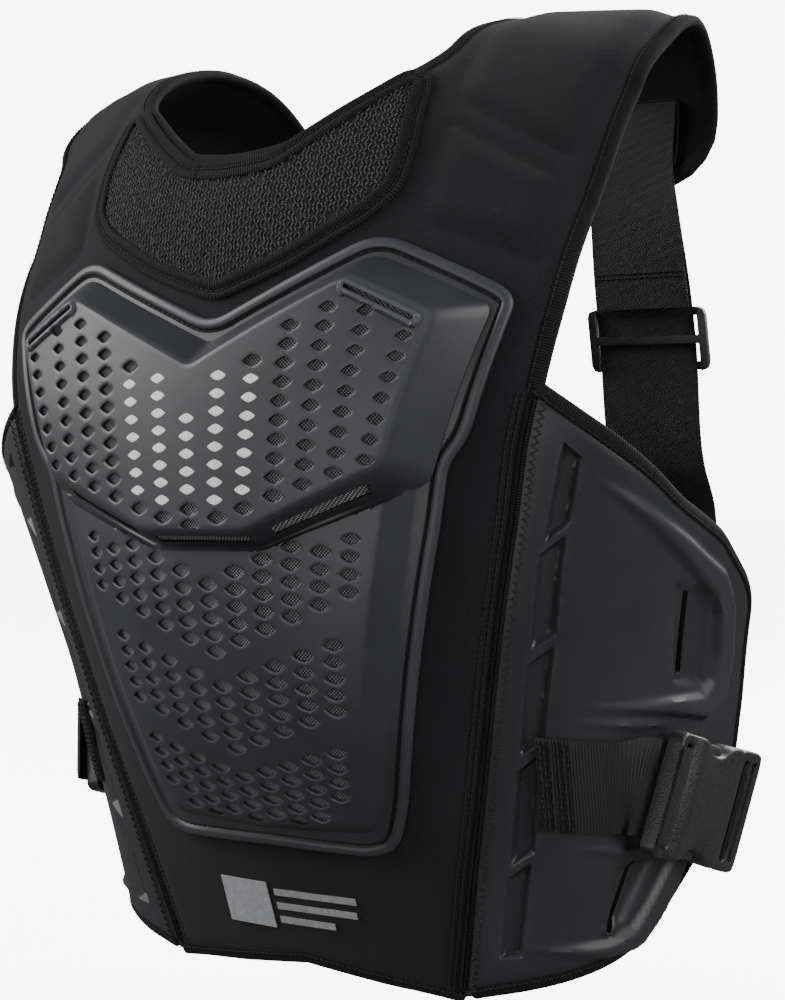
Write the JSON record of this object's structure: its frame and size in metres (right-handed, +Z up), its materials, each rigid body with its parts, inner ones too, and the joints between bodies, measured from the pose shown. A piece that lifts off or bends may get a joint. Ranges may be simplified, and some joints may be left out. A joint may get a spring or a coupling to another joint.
{
  "type": "roost deflector",
  "caption": "Motocross roost deflector: padded vest front with perforated chest shield, moulded side wings, buckled waist straps and strap back.",
  "frame": {"origin": "midway between the shoulders, at the height where the shoulder pads sit on the wearer", "axes": "+Z up, -Y out of the chest, +X to the wearer's left"},
  "size_m": [0.407, 0.2911, 0.4984],
  "materials": {
    "panel_cloth": "knitted cloth over foam, matt",
    "binding": "ribbed edge tape, matt",
    "yoke_mesh": "open spacer mesh",
    "shield_plastic": "satin moulded plastic",
    "backing_mesh": "fine light mesh",
    "wing_foam": "moulded foam skin, matt",
    "buckle_plastic": "fine pebbled plastic",
    "webbing": "ribbed webbing and twill elastic",
    "label": "pale printed patch"
  },
  "bodies": {
    "root": {"front_panel": "panel_cloth", "collar_binding": "binding", "arm_binding_left": "binding", "arm_binding_right": "binding", "hem_binding": "binding", "mesh_yoke": "yoke_mesh", "yoke_border": "panel_cloth", "shield_base": "shield_plastic", "shield_plate": "shield_plastic", "shield_mesh_upper": "backing_mesh", "shield_mesh_lower": "backing_mesh", "side_wing_left": "wing_foam", "side_wing_right": "wing_foam", "wing_binding_left": "binding", "wing_binding_right": "binding", "buckle_socket_left": "buckle_plastic", "buckle_socket_right": "buckle_plastic", "buckle_plug_left": "buckle_plastic", "buckle_plug_right": "buckle_plastic", "waist_webbing_left": "webbing", "waist_webbing_right": "webbing", "waist_elastic_left": "webbing", "waist_elastic_right": "webbing", "back_panel": "panel_cloth", "strap_anchor_left": "webbing", "strap_anchor_right": "webbing", "shoulder_strap_left": "webbing", "shoulder_strap_right": "webbing", "strap_slider_left": "buckle_plastic", "strap_slider_right": "buckle_plastic", "strap_fold_left": "webbing", "strap_fold_right": "webbing", "hem_label": "label"}
  },
  "joints": []
}
